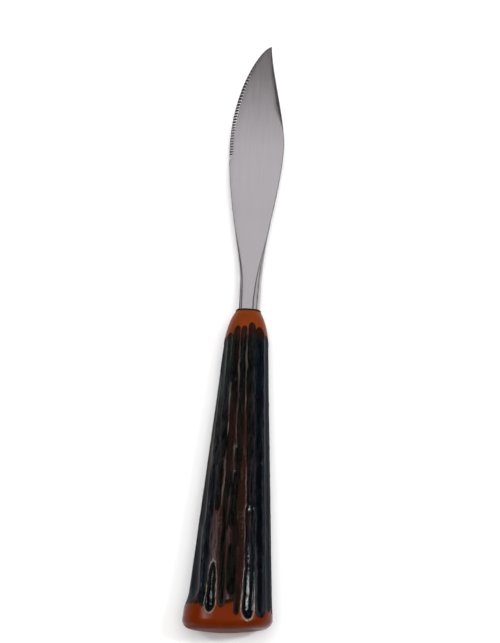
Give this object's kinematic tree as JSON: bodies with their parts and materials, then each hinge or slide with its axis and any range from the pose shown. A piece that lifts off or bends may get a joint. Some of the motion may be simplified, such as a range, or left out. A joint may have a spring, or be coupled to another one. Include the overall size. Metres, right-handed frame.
{
  "type": "steak knife",
  "caption": "Table steak knife: leaf-shaped steel blade with a finely toothed edge, its hidden tang cemented into a tapering oval moulded handle in a stag pattern.",
  "frame": {"origin": "under the middle of the knife's box, at the height of the handle's lowest point, with the blade level", "axes": "+Y along the knife from the butt to the tip, +X from the cutting edge towards the spine, +Z out of the front cheek"},
  "size_m": [0.0286, 0.216, 0.0202],
  "materials": {
    "blade_steel": "satin ground lengthwise",
    "handle_resin": "glossy caramel resin, stained black-brown in the flutes",
    "cement": "dull dark cement"
  },
  "bodies": {
    "root": {"blade": "blade_steel", "handle": "handle_resin", "tang_cement": "cement"}
  },
  "joints": []
}
